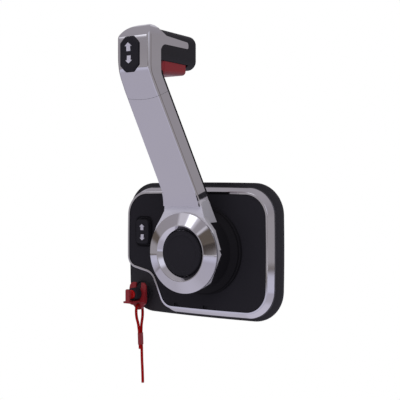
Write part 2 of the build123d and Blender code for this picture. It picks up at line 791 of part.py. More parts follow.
def rocker_pivot(at, depth, reach, spread=0.0):
    """Round pivot along X through a rocker, or with some spread the hole for it."""
    pin = Cylinder(rocker_pivot_radius + spread, 2 * (reach + spread))
    return Pos(at[0], -depth, at[1]) * Rot(0, 90, 0) * pin


def grip_outline(inset=0.0):
    height = grip_top_z - grip_bottom_z
    shape = Pos(grip_centre_x, (grip_top_z + grip_bottom_z) / 2) * RectangleRounded(
        2 * grip_half_width, height, 9.0)
    return offset(shape, -inset) if inset else shape


def head_cap():
    """Chrome head with the window for its rocker and the tongue that runs along the grip."""
    blank = lever_blank() & seam_region(seam_gap / 2)
    boss = head_rocker_outline(rocker_gap + 2.0) - head_rocker_outline(rocker_gap)
    cap = blank - lever_cavity()
    cap += prism(boss, head_front_depth - 11.0, head_front_depth - 1.0) & blank
    cap -= prism(head_rocker_outline(rocker_gap), head_front_depth - 4.0, head_front_depth + 5.0)
    cap -= rocker_pivot(head_rocker_at, head_pivot_depth, head_pivot_reach, 0.06)
    return cap + grip_tongue()


def tongue_outline(spread=0.0):
    """Tongue as seen from the side, widening into the head."""
    near, far = head_rear_depth + 1.5, tongue_end_depth - spread
    low, high = tongue_low_z - spread, tongue_high_z + spread
    points = [(near, low - 14.0), (near - 2.5 - spread, low - 12.0), (66.0, low), (far, low + 0.4),
              (far, high - 1.6), (60.0, high), (near - 2.0, head_top_z - 3.5), (near, head_top_z - 3.5)]
    shape = outline(points)
    for index, radius in ((2, 8.0), (3, 2.0 + spread), (4, 2.5 + spread)):
        shape = round_corner(shape, points[index], radius)
    return shape


tongue_thickness = 2.4


def grip_side_band(near_x, far_x, spread=0.0):
    sketch = Plane.YZ * mirror(tongue_outline(spread), Plane.YZ)
    return Pos(near_x, 0, 0) * extrude(sketch, far_x - near_x)


def grip_tongue():
    side = grip_centre_x + grip_half_width
    return grip_side_band(side - tongue_thickness, side + 0.3)


def bar_pocket():
    """Room in the underside of the grip for the lock bar and its lift."""
    left = bar_half_width - lock_travel * lock_direction.X + 0.4
    right = bar_half_width + 0.5
    height = bar_top_z + lock_travel * lock_direction.Z + 0.6
    box = Pos(grip_centre_x + (right - left) / 2, height - 20.0) * Rectangle(left + right, 40.0)
    return prism(box, bar_far_depth - 0.8, bar_near_depth - lock_travel * lock_direction.Y + 0.6) + tang_slot()


def tang_slot():
    lift = lock_travel * lock_direction.Z
    slot = Pos(grip_centre_x - 0.4, tang_z + lift / 2 - 2.0) * Rectangle(8.4, tang_height + lift + 5.6)
    return prism(slot, bar_near_depth - 2.0, head_rear_depth + 6.0)


def grip_rubber():
    """Moulded rubber grip with a rounded end, hollow for its core and the lock bar."""
    grip = prism(grip_outline(), grip_end_depth, head_rear_depth - seat_gap)
    grip = fillet(back_edges(grip), 6.0)
    grip -= prism(grip_core_outline(), grip_end_depth + 6.0, head_rear_depth)
    grip -= grip_side_band(grip_centre_x + grip_half_width - tongue_thickness - seat_gap, 5.0, seat_gap)
    return grip - bar_pocket()


def grip_core_outline():
    return Pos(grip_centre_x - 2.0, grip_top_z - 10.5) * RectangleRounded(18.0, 9.0, 2.0)


def grip_core():
    """Metal bar through the grip with the flange that closes the back of the head."""
    bar = prism(grip_core_outline(), grip_end_depth + 6.0, head_rear_depth)
    side = grip_centre_x + grip_half_width - tongue_thickness - seat_gap
    flange = lever_front(shell_wall + seat_gap) & (
        Pos(side - 50.0, cover_top_z + seat_gap + 20.0) * Rectangle(100, 40.0))
    return bar + (prism(flange, head_rear_depth, head_rear_depth + 3.0) - tang_slot())


lock_top = Vector(-26.5, -78.0, 172.0)
lock_low = Vector(-3.0, -36.5, 48.0)
lock_direction = (lock_top - lock_low).normalized()
lock_rod_radius = 1.6
tang_z, tang_height = 173.0, 7.0
spring_start, spring_length = 48.0, 18.0
cover_top_z = 167.5


def lock_bar():
    """Lift bar under the grip, with the tang that reaches into the head."""
    height = bar_top_z - bar_bottom_z
    section = Pos(grip_centre_x, (bar_top_z + bar_bottom_z) / 2) * Rectangle(2 * bar_half_width, height)
    bar = prism(section, bar_far_depth, bar_near_depth)
    slope = outline([(0, bar_bottom_z - 5), (100, bar_bottom_z - 5), (100, bar_bottom_z),
                     (bar_near_depth, bar_bottom_z), (bar_far_depth, bar_bottom_z + 3.4), (0, bar_bottom_z + 3.4)])
    bar -= side_slab(slope)
    low = [e for e in bar.edges() if (e @ 0.5).Z < bar_top_z - 1.0]
    bar = fillet(low, 4.0)
    tang = prism(Pos(grip_centre_x, tang_z) * Rectangle(6.0, tang_height), bar_near_depth - 1.0, -lock_top.Y + 1.8)
    return bar + tang


def lock_rod():
    """Straight rod down the arm with a spring collar and a foot over the neutral track."""
    foot_low = lock_track_outer + 0.4
    low = lock_top - lock_direction * ((lock_top.Z - foot_low - 2.5) / lock_direction.Z)
    rod = extrude(Plane(origin=low, z_dir=lock_direction) * Circle(lock_rod_radius), (lock_top - low).length)
    collar_plane = Plane(origin=lock_low + lock_direction * spring_start, z_dir=lock_direction)
    collar = extrude(collar_plane * Circle(3.6), -1.5)
    foot = prism(Pos(0, foot_low + 2.2) * Rectangle(4.6, 4.4), turning_rear + 0.3, -low.Y + 1.5)
    socket = prism(Pos(grip_centre_x, tang_z) * Rectangle(6.2, tang_height + 0.2), bar_near_depth - 2.0,
                   -lock_top.Y + 1.9)
    return (rod + collar + foot) - socket


def lock_spring():
    """Spring round the lock rod that presses it down from the guide."""
    return coil_spring(lock_low + lock_direction * spring_start, lock_direction, spring_length, 3.0, 0.8, 4)


def lever_cover():
    """Black back of the lever: plate behind the arm, and skirt behind the hub."""
    inner = skirt_waist_radius - skirt_wall
    front = drum_valley_depth + 0.3
    skirt = turned([
        (inner, turning_rear), (skirt_radius, turning_rear), (skirt_radius, turning_rear + 1.6),
        (skirt_waist_radius, skirt_waist_depth), (skirt_waist_radius, front), (inner, front),
    ])
    back = lever_side(chrome_back + seat_gap, cover_back) & prism(lever_front(), 0, 110)
    back -= above_plane(cover_top_z)
    back -= disc(skirt_waist_radius - 1.0, 0, 60)
    cover = back + skirt
    rod_slot = Pos(0.8, skirt_waist_radius - 2.0) * Rectangle(12.0, 14.0)
    cover -= prism(rod_slot, 25.5, 40.0)
    for frame in screw_frames():
        cover -= extrude(frame * Circle(1.8), 12.0, both=True)
        cover -= extrude(frame.offset(-1.5) * Circle(3.4), 6.0)
    return cover


def cover_bolts():
    """Screws that hold the lever's black back to its chrome casting."""
    bolts = []
    for frame in screw_frames():
        head = extrude(frame.offset(-1.5) * Circle(3.1), 1.4)
        slot = extrude(frame.offset(-0.1) * (Rectangle(3.6, 0.9) + Rectangle(0.9, 3.6)), -1.0)
        shank = extrude(frame.offset(-1.5) * Circle(1.45), -10.5)
        bolts.append(head - slot + shank)
    return Compound(children=bolts)


# ---------------------------------------------------------------- hub front
def hub_ring():
    """Conical chrome ring round the push cap."""
    ring = turned([
        (ring_outer, drum_front_depth), (ring_outer, drum_front_depth + 0.5), (ring_inner, ring_front_depth),
        (ring_inner - 0.8, ring_front_depth), (ring_bore, cap_depth - 1.4), (ring_bore, shaft_nose_depth + 3.0),
        (ring_bore + 1.9, shaft_nose_depth + 3.0), (ring_bore + 1.9, drum_front_depth),
    ])
    rim = [e for e in ring.edges() if abs(e.center().Y + ring_front_depth) < 0.01]
    return fillet(rim, 0.35)


def push_cap():
    """Throttle-only push cap: a shallow dish with a raised rim."""
    r = ring_bore - cap_gap
    return turned([
        (0, cap_depth - 3.0), (r - 2.0, cap_depth - 3.0), (r - 2.0, cap_depth - 4.4), (r, cap_depth - 4.4),
        (r, cap_depth - 0.9), (r - 0.9, cap_depth), (r - 4.2, cap_depth + 0.4), (r - 4.9, cap_depth - 0.2),
        (r - 6.5, cap_depth - 0.3), (0, cap_depth + 0.9),
    ])


def hub_screw():
    """Cap screw and washer that clamp the lever on its shaft."""
    face = shaft_nose_depth + 0.5
    washer = disc(9.5, shaft_nose_depth + 3.0, shaft_nose_depth + 4.4)
    head = fillet(front_edges(disc(5.0, shaft_nose_depth + 4.4, shaft_nose_depth + 6.6)), 0.5)
    head -= prism(RegularPolygon(2.6, 6), shaft_nose_depth + 5.0, shaft_nose_depth + 7.0)
    return head + washer + disc(3.25, 24.0, shaft_nose_depth + 4.4)


def cap_spring():
    """Wave spring between the hub and the push cap."""
    near, far = shaft_nose_depth + 3.0, cap_depth - 3.0
    start = (0, -near, 0)
    return coil_spring(start, (0, -1, 0), far - near, 15.0, 0.9, 2)


# ---------------------------------------------------------------- rocker switches
def rocker(outline_sketch, at, front, back, stem_size, stem_back, crown):
    """Rocker pad with a hollowed front, rounded rim and a stem into its switch."""
    pad = prism(outline_sketch, back, front)
    pad = fillet(front_edges(pad), 1.8)
    bowl = Pos(at[0], -front - crown, at[1]) * Rot(0, 90, 0) * Cylinder(60.0, 60.0)
    pad -= Pos(0, -(60.0 - 1.6), 0) * bowl
    return pad + prism(Pos(*at) * Rectangle(*stem_size), stem_back, back)


def head_rocker():
    pad = rocker(head_rocker_outline(), head_rocker_at, head_front_depth + head_rocker_proud,
                 head_front_depth - 3.5, (6.0, 5.0), head_module_front - 1.6, 0.6)
    return pad + rocker_pivot(head_rocker_at, head_pivot_depth, head_pivot_reach)


def panel_rocker():
    pad = rocker(panel_rocker_outline(), panel_rocker_at, fascia_front + panel_rocker_proud,
                 fascia_back + 0.4, (5.0, 4.0), panel_module_front - 2.6, 0.6)
    return pad + rocker_pivot(panel_rocker_at, panel_pivot_depth, panel_pivot_reach)


def switch_module(body, at, front, back, stem_size, tab_z, tab_length):
    """Switch body with a socket for the rocker's stem and three terminal tabs."""
    w, h = stem_size[0] + 1.2, stem_size[1] + 2.4
    module = prism(body, back, front) - prism(Pos(*at) * Rectangle(w, h), front - 3.4, front)
    for step in (-4.0, 0.0, 4.0):
        module += prism(Pos(at[0], tab_z + step) * Rectangle(6.0, 0.8), back - tab_length, back)
    return module


def head_switch():
    """Thin switch glued into the window's collar, clear of the lock rod behind it."""
    body = head_rocker_outline(rocker_gap - seat_gap)
    return switch_module(body, head_rocker_at, head_module_front, head_front_depth - 9.4, (6.0, 5.0),
                         head_rocker_at[1] + 9.0, 3.0)


def panel_switch():
    body = Pos(*panel_rocker_at) * Rectangle(*panel_module_size)
    module = switch_module(body, panel_rocker_at, panel_module_front, -12.0, (5.0, 4.0),
                           panel_rocker_at[1], 5.0)
    module -= rocker_pivot(panel_rocker_at, panel_pivot_depth, panel_pivot_reach, 0.06)
    return module + prism(offset(body, 2.0) - body, plate_front, plate_front + 1.6)


# ---------------------------------------------------------------- kill switch
stem_disc_depth = -12.0


def kill_body():
    """Switch body behind the plate with the threaded barrel that comes through it."""
    body = disc(kill_body_radius, gasket_thickness, -22.0, kill_at)
    body = fillet(back_edges(body), 1.0)
    body += disc(kill_barrel_radius, gasket_thickness, kill_barrel_depth, kill_at)
    body = chamfer(front_edges(body), 0.5)
    body -= disc(kill_neck_radius + running_gap, -2.0, kill_barrel_depth, kill_at)
    body -= disc(5.2, -1.5, -20.0, kill_at)
    for step in (-4.0, 4.0):
        body += prism(Pos(kill_at[0] + step, kill_at[1]) * Rectangle(0.8, 5.0), -21.0, -28.0)
    return body


def kill_nut():
    hexagon = Pos(*kill_at) * RegularPolygon(kill_nut_circumradius, 6)
    nut = prism(hexagon, kill_pocket_floor, kill_pocket_floor + kill_nut_thickness)
    crown = turned([(0, 0), (kill_nut_circumradius + 1, 0), (kill_nut_circumradius + 1, kill_pocket_floor + 1.2),
                    (kill_nut_circumradius - 1.0, kill_pocket_floor + kill_nut_thickness), (0, 9)], kill_at)
    return (nut & crown) - disc(kill_barrel_radius + 0.02, 0, 10, kill_at)


def kill_plunger():
    """Knob on a stem that ends in a contact disc inside the switch."""
    knob_front = kill_knob_depth + kill_knob_length
    knob = disc(kill_knob_radius, kill_knob_depth, knob_front, kill_at)
    knob = fillet(front_edges(knob), 1.2)
    stem = disc(kill_neck_radius, stem_disc_depth, kill_knob_depth, kill_at)
    return knob + stem + disc(4.8, stem_disc_depth, stem_disc_depth - 2.0, kill_at)


def kill_cap():
    """Red disc on the knob's face."""
    face = kill_knob_depth + kill_knob_length
    return fillet(front_edges(disc(4.5, face, face + 1.8, kill_at)), 0.8)


def kill_spring():
    start = (kill_at[0], -stem_disc_depth, kill_at[1])
    return coil_spring(start, (0, -1, 0), -1.5 - stem_disc_depth, 3.9, 0.7, 3)


clip_front_depth = kill_knob_depth - 0.3 - clip_wedge * kill_knob_radius
lug_eye = (kill_at[0] + 1.3, kill_at[1] - 11.2)
lug_radius = 5.4
lug_front_depth = 15.2


def kill_clip():
    """Red clip: wedge-shaped fork behind the knob, shelf below it, tab in front and a cord lug."""
    x, z = kill_at
    half, slot = 10.3, 3.3
    shelf_top = z - kill_knob_radius - 0.4
    plate = Pos(x - 0.8, z - 0.7) * RectangleRounded(2 * half, 23.2, 4.6)
    plate -= Pos(x, z + 10.0) * Rectangle(2 * slot, 20.0) + Pos(x, z) * Circle(slot)
    lug = make_hull((Pos(*lug_eye) * Circle(lug_radius) + Pos(x, z - 11.0) * Rectangle(11.0, 2.0)).edges())
    fork = prism(plate + lug, clip_rear_depth, clip_front_depth + 6.0)
    low, high = z - 26.0, z + 14.0
    wedge = side_slab(outline([
        (clip_front_depth + clip_wedge * (z - low), low), (clip_front_depth + 12.0, low),
        (clip_front_depth + 12.0, high), (clip_front_depth - clip_wedge * (high - z), high),
    ]))
    fork -= wedge
    shelf = prism(Pos(x, shelf_top - 0.9) * Rectangle(10.0, 1.8), clip_front_depth, 31.5)
    tab = prism(Pos(x, shelf_top + 5.3) * RectangleRounded(4.8, 14.2, 1.6), 29.7, 31.5)
    fork -= prism(Pos(x, shelf_top - 21.8) * Rectangle(40.0, 40.0), lug_front_depth, 40.0)
    clip = fork + shelf + (tab - above_plane(z + 6.0))
    return clip - disc(cord_diameter / 2 + 0.45, 0, 40, lug_eye)


# ---------------------------------------------------------------- lanyard
strand = (cord_diameter + strand_gap) / 2
sleeve_mid_depth = 13.6
lanyard_points = (
    (-75.5, -sleeve_mid_depth - strand, -103.0),
    (-76.5, -sleeve_mid_depth - strand, -80.5),
    (-77.9, -18.4, -70.0),
    (lug_eye[0], -18.6, lug_eye[1]),
    (lug_eye[0], -8.6, lug_eye[1]),
    (-76.6, -8.8, -70.0),
    (-76.5, -sleeve_mid_depth + strand, -80.5),
    (-75.5, -sleeve_mid_depth + strand, -103.0),
    (-75.0, -12.6, -114.5),
    (-74.0, -12.9, -126.0),
    (-73.4, -13.3, -137.6),
)


def lanyard_path():
    """Straight runs joined by tangent arcs, each as wide as its shorter run allows."""
    points = [Vector(*p) for p in lanyard_points]
    radii = []
    for before, at, after in zip(points, points[1:], points[2:]):
        into, out = at - before, after - at
        turn = radians(into.get_angle(out))
        radii.append(min(0.45 * min(into.length, out.length) / tan(turn / 2), 60.0))
    return FilletPolyline(*points, radius=radii), radii


def lanyard_cord():
    path, radii = lanyard_path()
    start = Plane(origin=path @ 0, z_dir=path % 0)
    cord = sweep(start * Circle(cord_diameter / 2), path=path)
    print("lanyard: length", round(path.length, 1), "smallest radius", round(min(radii), 2),
          "volume over section x length", round(cord.volume / (pi * cord_diameter ** 2 / 4 * path.length), 4))
    return cord


def lanyard_sleeve():
    """Crimped sleeve round both strands."""
    bottom, top = Vector(*lanyard_points[0]), Vector(*lanyard_points[1])
    along = (top - bottom).normalized()
    middle_y = Vector(0, strand, 0)
    start = bottom + along * ((sleeve_bottom_z - bottom.Z) / along.Z) + middle_y
    plane = Plane(origin=start, x_dir=(0, 1, 0), z_dir=along)
    radius = cord_diameter / 2 + 0.02
    hole = SlotCenterToCenter(2 * strand, 2 * radius)
    body = SlotCenterToCenter(2 * strand, 2 * (radius + sleeve_wall))
    return extrude(plane * (body - hole), (sleeve_top_z - sleeve_bottom_z) / along.Z)


# ---------------------------------------------------------------- all the pieces
pieces = (
    mounting_gasket, mounting_plate, mounting_studs, housing_screws, chrome_trim, fascia_plate, hub_collar,
    rear_housing, rear_cover, cover_screws, front_bush, rear_bush, shift_bush, detent_guide, panel_switch,
    kill_body, kill_nut, pivot_shaft, drive_gear, detent_disc, throttle_arm, lever_shell, lever_cover,
    cover_bolts, head_cap, head_switch, grip_core, grip_rubber, hub_ring, hub_screw, shift_shaft,
    shift_sector, shift_arm, lock_bar, lock_rod, lock_spring, head_rocker, panel_rocker, push_cap,
    cap_spring, detent_roller, detent_spring, kill_plunger, kill_cap, kill_spring, kill_clip,
    lanyard_sleeve, lanyard_cord,
)
for piece in pieces:
    save(piece.__name__, piece())

save("throttle_cable_pin", cable_pin((0, -throttle_reach), throttle_arm_depth))
save("shift_cable_pin", cable_pin((shift_at[0] - shift_reach, shift_at[1]), shift_arm_depth))
save("throttle_retaining_ring", retaining_ring(shaft_radius, throttle_ring_depth, (0, 0)))
save("shift_retaining_ring", retaining_ring(shift_shaft_radius, shift_ring_depth, shift_at))
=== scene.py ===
# %% [markdown]
# # Boat throttle control lever: the looks
# This is a side-mount control from a boat's helm: a black wall plate with a chrome trim, a tall chrome
# lever with a rubber grip, two rocker switches, and a kill switch with a red clip and lanyard.
# The shapes come from the CAD frame.  This notebook gives every piece its finish, draws the printed
# arrows and the cord, and sets up the surroundings, the lamp and the camera.

# %% Load the frame
import json
import math
import bmesh
import bpy
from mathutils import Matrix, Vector
from mathutils.bvhtree import BVHTree


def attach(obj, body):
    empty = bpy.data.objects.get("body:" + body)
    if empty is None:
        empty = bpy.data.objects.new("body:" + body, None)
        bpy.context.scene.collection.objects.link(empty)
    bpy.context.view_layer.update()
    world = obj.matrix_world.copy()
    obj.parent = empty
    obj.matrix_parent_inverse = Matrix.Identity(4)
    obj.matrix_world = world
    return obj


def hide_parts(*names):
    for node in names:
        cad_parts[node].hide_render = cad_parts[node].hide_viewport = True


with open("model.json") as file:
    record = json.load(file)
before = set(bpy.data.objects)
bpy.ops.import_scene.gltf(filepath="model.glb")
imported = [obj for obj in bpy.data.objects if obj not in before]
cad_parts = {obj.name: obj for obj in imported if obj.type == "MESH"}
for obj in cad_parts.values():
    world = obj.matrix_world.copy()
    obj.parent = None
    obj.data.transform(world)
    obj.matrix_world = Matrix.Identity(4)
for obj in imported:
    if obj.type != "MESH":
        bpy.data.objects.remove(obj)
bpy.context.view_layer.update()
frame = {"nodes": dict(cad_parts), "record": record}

nodes = frame["nodes"]

# %% [markdown]
# ## Units and colours
# The frame is in metres, and the drawing of the part is in millimetres, so `mm` turns one into the
# other.  Colours are easiest to choose as the values a screen shows, but a shader wants linear light,
# so `screen` converts them.

# %% Units and colours
def mm(*values):
    return Vector(values) / 1000


def screen(*values):
    linear = []
    for value in values:
        c = value / 255
        linear.append(c / 12.92 if c <= 0.04045 else ((c + 0.055) / 1.055) ** 2.4)
    return (*linear, 1.0)


def link_object(name, data):
    thing = bpy.data.objects.new(name, data)
    bpy.context.scene.collection.objects.link(thing)
    return thing


print("dark plastic in linear light", [round(v, 4) for v in screen(34, 33, 38)])

# %% [markdown]
# ## Camera
# A long lens keeps the panel's edges nearly parallel.  The camera stands in front of the wall plate
# and well to its right, a little above the hub, and looks almost level.

# %% Camera
CAMERA_AT = mm(440.66, -690.17, 65.44)
AZIMUTH, PITCH = math.radians(33.29), math.radians(1.17)
FOCAL_PIXELS, FRAME_PIXELS = 837.5, 400.0
SENSOR_WIDTH = 36.0
NEAREST, FARTHEST = 0.05, 20.0

forward = Vector((-math.sin(AZIMUTH) * math.cos(PITCH), math.cos(AZIMUTH) * math.cos(PITCH),
                  -math.sin(PITCH)))
camera = link_object("camera", bpy.data.cameras.new("camera"))
camera.location = CAMERA_AT
camera.rotation_mode = "QUATERNION"
camera.rotation_quaternion = forward.to_track_quat("-Z", "Y")
camera.data.sensor_width = SENSOR_WIDTH
camera.data.lens = FOCAL_PIXELS * SENSOR_WIDTH / FRAME_PIXELS
camera.data.clip_start, camera.data.clip_end = NEAREST, FARTHEST
bpy.context.scene.camera = camera
bpy.context.scene.view_settings.view_transform = "Standard"
print("lens in mm", round(camera.data.lens, 2))

# %% [markdown]
# ## Arrows on the rockers
# Both rockers carry pale up and down arrows, pad-printed into the moulding.  They could be painted in
# the material, but a printed mark has a crisp edge and sits on a hollowed face, so each arrow is a
# thin mesh: its outline is filled, cut into small faces, and every point is dropped onto the rocker's
# own face by a ray along +Y.

# %% Arrow outline
HALF_STEM_SHARE, HEAD_SHARE = 0.28, 0.42


def arrow_outline(width, height):
    """Up arrow about its middle, in X and Z: a wide head on a short broad stem."""
    half, stem, neck = width / 2, HALF_STEM_SHARE * width, HEAD_SHARE * height
    top, foot = height / 2, -height / 2
    return [(0, top), (half, top - neck), (stem, top - neck), (stem, foot),
            (-stem, foot), (-stem, top - neck), (-half, top - neck)]


print("corners in an arrow", len(arrow_outline(7, 7)))

# %% Print an arrow on a rocker
INK_THICKNESS = 0.00012
RIM_THICKNESS = 1.5 * INK_THICKNESS
CUTS_PER_EDGE = 3
RAY_START_Y = -200


def print_arrow(name, rocker_name, body, at, width, height, turn):
    surface = nodes[rocker_name].data
    tree = BVHTree.FromPolygons([vertex.co for vertex in surface.vertices],
                                [polygon.vertices for polygon in surface.polygons])
    shape = bmesh.new()
    corners = [shape.verts.new((at[0] + turn * x, 0, at[1] + turn * z))
               for x, z in arrow_outline(width, height)]
    outline = shape.faces.new(corners)
    outline.normal_update()
    bmesh.ops.triangulate(shape, faces=shape.faces[:])
    bmesh.ops.subdivide_edges(shape, edges=shape.edges[:], cuts=CUTS_PER_EDGE, use_grid_fill=True)
    for vert in shape.verts:
        start = mm(vert.co.x, RAY_START_Y, vert.co.z)
        hit = tree.ray_cast(start, Vector((0, 1, 0)))[0]
        vert.co = hit - Vector((0, INK_THICKNESS, 0))
    bmesh.ops.recalc_face_normals(shape, faces=shape.faces[:])
    if sum(face.normal.y for face in shape.faces) > 0:
        bmesh.ops.reverse_faces(shape, faces=shape.faces[:])
    mesh = bpy.data.meshes.new(name)
    shape.to_mesh(mesh)
    shape.free()
    arrow = link_object(name, mesh)
    rim = arrow.modifiers.new("ink", "SOLIDIFY")
    rim.thickness, rim.offset = RIM_THICKNESS, -1.0
    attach(arrow, body)
    return arrow


UP, DOWN = 1, -1
arrows = [
    print_arrow("head_arrow_up", "head_rocker", "head_rocker", (-28.5, 188.0), 7.8, 7.8, UP),
    print_arrow("head_arrow_down", "head_rocker", "head_rocker", (-28.0, 176.5), 7.6, 7.2, DOWN),
    print_arrow("panel_arrow_up", "panel_rocker", "panel_rocker", (-72.5, 20.8), 6.3, 6.1, UP),
    print_arrow("panel_arrow_down", "panel_rocker", "panel_rocker", (-72.1, 10.5), 6.3, 6.1, DOWN),
]
print("arrows", len(arrows), "faces each", len(arrows[0].data.polygons))

# %% [markdown]
# ## One recipe for all the finishes
# No real surface is one flat colour.  Each finish here starts from two close colours and a range of
# roughness, mixed by a noise in the piece's own space, with a fine bump from the same noise.  Numbers
# that are the same all over, such as how metallic it is, go straight on the shader.

# %% Finish recipe
def finish(name, light, dark, metallic=0.0, rough=(0.4, 0.5), grain=60.0, bump=0.0, depth=0.0002,
           stretch=(1, 1, 1), specular=0.5, detail=4.0):
    """Material of two close colours and a range of roughness, with a fine bump where it has one."""
    mat = bpy.data.materials.new(name)
    mat.use_nodes = True
    tree = mat.node_tree
    shader = tree.nodes["Principled BSDF"]
    where = tree.nodes.new("ShaderNodeTexCoord")
    mapping = tree.nodes.new("ShaderNodeMapping")
    mapping.inputs["Scale"].default_value = stretch
    noise = tree.nodes.new("ShaderNodeTexNoise")
    noise.inputs["Scale"].default_value = grain
    noise.inputs["Detail"].default_value = detail
    mix = tree.nodes.new("ShaderNodeMix")
    mix.data_type = "RGBA"
    mix.inputs["A"].default_value, mix.inputs["B"].default_value = light, dark
    spread = tree.nodes.new("ShaderNodeMapRange")
    spread.inputs["To Min"].default_value, spread.inputs["To Max"].default_value = rough
    tree.links.new(where.outputs["Object"], mapping.inputs["Vector"])
    tree.links.new(mapping.outputs["Vector"], noise.inputs["Vector"])
    tree.links.new(noise.outputs["Fac"], mix.inputs["Factor"])
    tree.links.new(mix.outputs["Result"], shader.inputs["Base Color"])
    tree.links.new(noise.outputs["Fac"], spread.inputs["Value"])
    tree.links.new(spread.outputs["Result"], shader.inputs["Roughness"])
    shader.inputs["Metallic"].default_value = metallic
    shader.inputs["Specular IOR Level"].default_value = specular
    if bump:
        relief = tree.nodes.new("ShaderNodeBump")
        relief.inputs["Strength"].default_value = bump
        relief.inputs["Distance"].default_value = depth
        tree.links.new(noise.outputs["Fac"], relief.inputs["Height"])
        tree.links.new(relief.outputs["Normal"], shader.inputs["Normal"])
    return mat


print("recipe ready")

# %% [markdown]
# ## Plastics and rubbers
# The wall plate and gasket are matt, the fascia and rockers are moulded with a fine satin texture, and
# the grip is a soft rubber with the strongest grain.  These are all nearly black, so it is their
# roughness that tells them apart.  The pale bearing plastic shows only behind the wall plate, and the
# red one is the lift bar's and the kill switch's.

# %% Plastics and rubbers
finishes = {
    "gasket_rubber": finish("gasket rubber", screen(26, 26, 28), screen(32, 32, 34),
                            rough=(0.75, 0.85), bump=0.3),
    "plate_black": finish("plate black", screen(35, 34, 38), screen(42, 41, 45), rough=(0.5, 0.6),
                          grain=900, bump=0.12, specular=0.4),
    "black_plastic": finish("black plastic", screen(38, 37, 42), screen(43, 42, 47), rough=(0.55, 0.65),
                            grain=1100, bump=0.1, specular=0.12),
    "black_rubber": finish("black rubber", screen(27, 26, 30), screen(33, 32, 36), rough=(0.55, 0.68),
                           grain=1500, bump=0.3, specular=0.4),
    "bearing_plastic": finish("bearing plastic", screen(222, 220, 212), screen(212, 209, 200),
                              rough=(0.35, 0.45), grain=300, bump=0.05),
    "red_plastic": finish("red plastic", screen(152, 40, 46), screen(140, 33, 40), rough=(0.28, 0.38),
                          grain=500, bump=0.06, specular=0.45),
}
print("plastics", len(finishes))

# %% [markdown]
# ## Metals
# The lever, its ring and the trim are plated plastic or zinc: chrome is smooth, a little blue, and
# almost all reflection, with only a faint haze.  The hidden shafts and screws are turned steel, which
# is duller and streaked around the axis, so its noise is squeezed along Y.

# %% Metals
CHROME = dict(light=(0.80, 0.79, 0.82, 1), dark=(0.75, 0.74, 0.77, 1), metallic=1.0,
              rough=(0.03, 0.075), grain=11, detail=2.0)
finishes.update({
    "chrome": finish("chrome", **CHROME),
    "steel": finish("turned steel", (0.55, 0.55, 0.56, 1), (0.42, 0.42, 0.43, 1), metallic=1.0,
                    rough=(0.2, 0.36), grain=60, stretch=(1, 14, 1), bump=0.08),
    "brass": finish("turned brass", (0.66, 0.48, 0.22, 1), (0.52, 0.37, 0.15, 1), metallic=1.0,
                    rough=(0.2, 0.34), grain=60, stretch=(1, 14, 1), bump=0.08),
    "aluminium": finish("cast aluminium", (0.62, 0.62, 0.63, 1), (0.5, 0.5, 0.51, 1), metallic=1.0,
                        rough=(0.38, 0.52), grain=700, bump=0.25),
})
print("plastics and metals", len(finishes))

# %% [markdown]
# ## Satin flank
# The lever's casting is polished in front, but its flank beside the hub is only rubbed down before it
# is plated, so it is paler and less of a mirror.  It could be a second material on picked faces.  A
# mask made from depth and height does the same without picking, and stays right if the mesh changes.

# %% Satin flank
FLANK_DEPTH, FLANK_TOP, FLANK_SOFT = 0.0470, 0.050, 0.0012
SATIN_METALLIC = 0.35


def satin_below(mat, depth, height, soft):
    """Let the metal go satin behind a depth and below a height, where it is only rubbed down."""
    tree = mat.node_tree
    shader = tree.nodes["Principled BSDF"]
    where = tree.nodes.new("ShaderNodeTexCoord")
    axes = tree.nodes.new("ShaderNodeSeparateXYZ")
    tree.links.new(where.outputs["Object"], axes.inputs["Vector"])
    masks = []
    for axis, edge, turn in (("Y", -depth, 1), ("Z", height, -1)):
        mask = tree.nodes.new("ShaderNodeMapRange")
        mask.interpolation_type = "SMOOTHSTEP"
        mask.inputs["From Min"].default_value = edge - turn * soft
        mask.inputs["From Max"].default_value = edge + turn * soft
        tree.links.new(axes.outputs[axis], mask.inputs["Value"])
        masks.append(mask.outputs["Result"])
    both = tree.nodes.new("ShaderNodeMath")
    both.operation = "MULTIPLY"
    tree.links.new(masks[0], both.inputs[0])
    tree.links.new(masks[1], both.inputs[1])
    metal = tree.nodes.new("ShaderNodeMapRange")
    metal.inputs["To Min"].default_value, metal.inputs["To Max"].default_value = 1.0, SATIN_METALLIC
    tree.links.new(both.outputs["Value"], metal.inputs["Value"])
    tree.links.new(metal.outputs["Result"], shader.inputs["Metallic"])


arm_chrome = finish("arm chrome", **CHROME)
satin_below(arm_chrome, depth=FLANK_DEPTH, height=FLANK_TOP, soft=FLANK_SOFT)
print("satin behind a depth of", FLANK_DEPTH * 1000, "mm, below a height of", FLANK_TOP * 1000, "mm")

# %% [markdown]
# ## Crowned faces
# Cast and plated faces are never quite flat: the head bulges a little and the arm's foot curls
# forward.  On chrome that small curve matters more than anything, because it decides what the face
# reflects.  The solids are flat there, so the material leans the normal up or down by height, only
# where a face looks forward.  A colour ramp can't hold a negative number, so the lean is kept about
# mid grey and the grey is taken off again.

# %% Crowned faces
MID_GREY = 0.5
FACING_ASIDE, FACING_FORWARD = -0.6, -0.95


